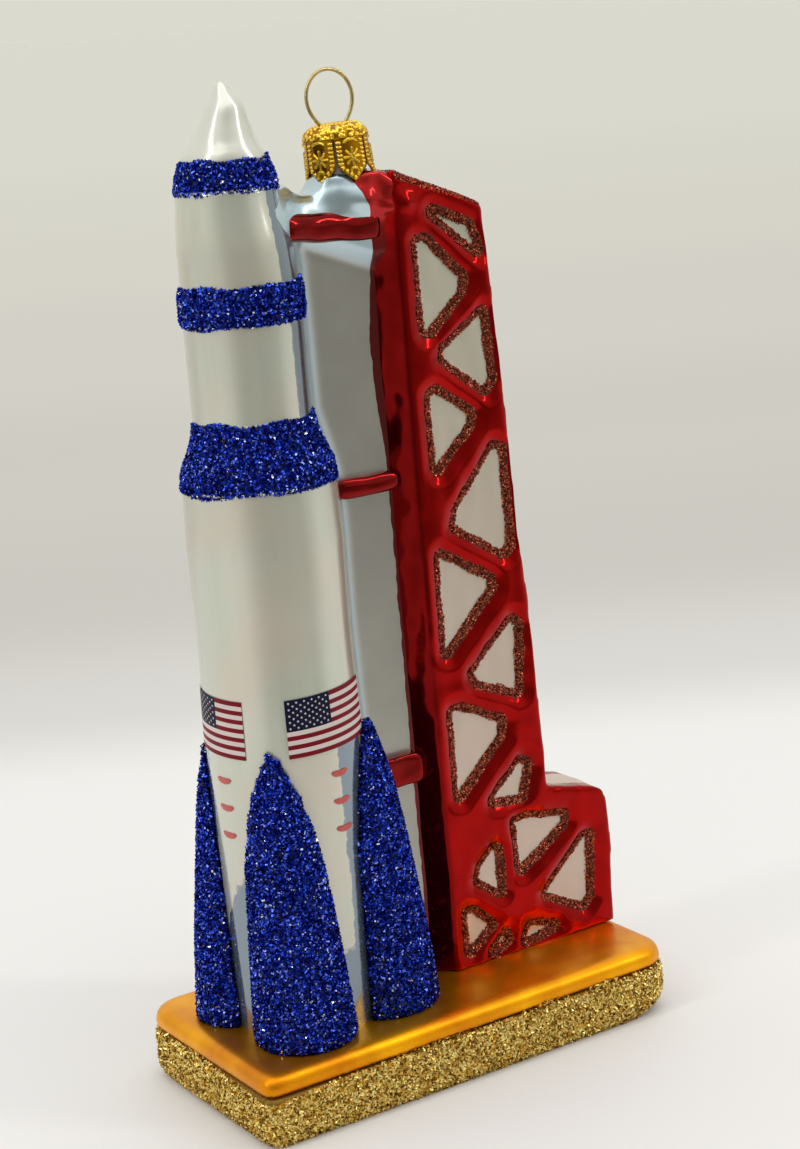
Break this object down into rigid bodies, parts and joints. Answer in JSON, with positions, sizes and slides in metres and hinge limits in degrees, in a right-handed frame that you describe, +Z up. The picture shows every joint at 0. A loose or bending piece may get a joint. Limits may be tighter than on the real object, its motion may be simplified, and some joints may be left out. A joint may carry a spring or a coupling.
{
  "type": "glass space rocket hanging ornament",
  "caption": "Hanging ornament of a staged space rocket beside a lattice launch tower on one slab, with a metal cap and a wire ring.",
  "frame": {"origin": "centre of the slab's underside", "axes": "+Z up; +X from the rocket towards the tower; -Y towards the viewer of the picture"},
  "size_m": [0.079, 0.0412, 0.1608],
  "materials": {
    "pearl_lacquer": "pearl white lacquer over silvered glass, glossy",
    "blue_glitter": "royal blue glitter flakes in clear glue",
    "silvered_glass": "silvered glass, satin",
    "red_lacquer": "clear red lacquer over silvered glass, glossy",
    "orange_lacquer": "orange gold lacquer, satin",
    "gold_glitter": "gold glitter flakes in clear glue",
    "cap_brass": "stamped sheet, bright",
    "ring_wire": "drawn spring wire"
  },
  "bodies": {
    "ornament": {"base_band": "gold_glitter", "base_deck": "orange_lacquer", "main_stage": "pearl_lacquer", "lower_glitter_band": "blue_glitter", "middle_stage": "pearl_lacquer", "middle_glitter_band": "blue_glitter", "upper_stage": "pearl_lacquer", "upper_glitter_band": "blue_glitter", "nose_cone": "pearl_lacquer", "left_rear_fin": "blue_glitter", "left_front_fin": "blue_glitter", "right_front_fin": "blue_glitter", "right_rear_fin": "blue_glitter", "upper_access_arm": "red_lacquer", "middle_access_arm": "red_lacquer", "lower_access_arm": "red_lacquer", "lower_web": "silvered_glass", "middle_web": "silvered_glass", "upper_web": "silvered_glass", "web_saddle": "silvered_glass", "neck": "silvered_glass", "tower_mast": "red_lacquer", "tower_head": "red_lacquer", "tower_lattice_front": "red_lacquer", "tower_lattice_rear": "red_lacquer", "annex_lattice_front": "red_lacquer", "annex_lattice_rear": "red_lacquer", "tower_core": "pearl_lacquer", "annex_core": "pearl_lacquer"},
    "cap": {"ornament_cap": "cap_brass"},
    "ring": {"hanging_ring": "ring_wire"}
  },
  "joints": [
    {"name": "cap_lift", "type": "slide", "parent": "ornament", "child": "cap", "axis": [0, 0, 1], "range_m": [0, 0.012]},
    {"name": "ring_tilt", "type": "hinge", "parent": "cap", "child": "ring", "pos_m": [0, 0, 0.1519], "axis": [1, 0, 0], "range_deg": [-10, 10]}
  ]
}
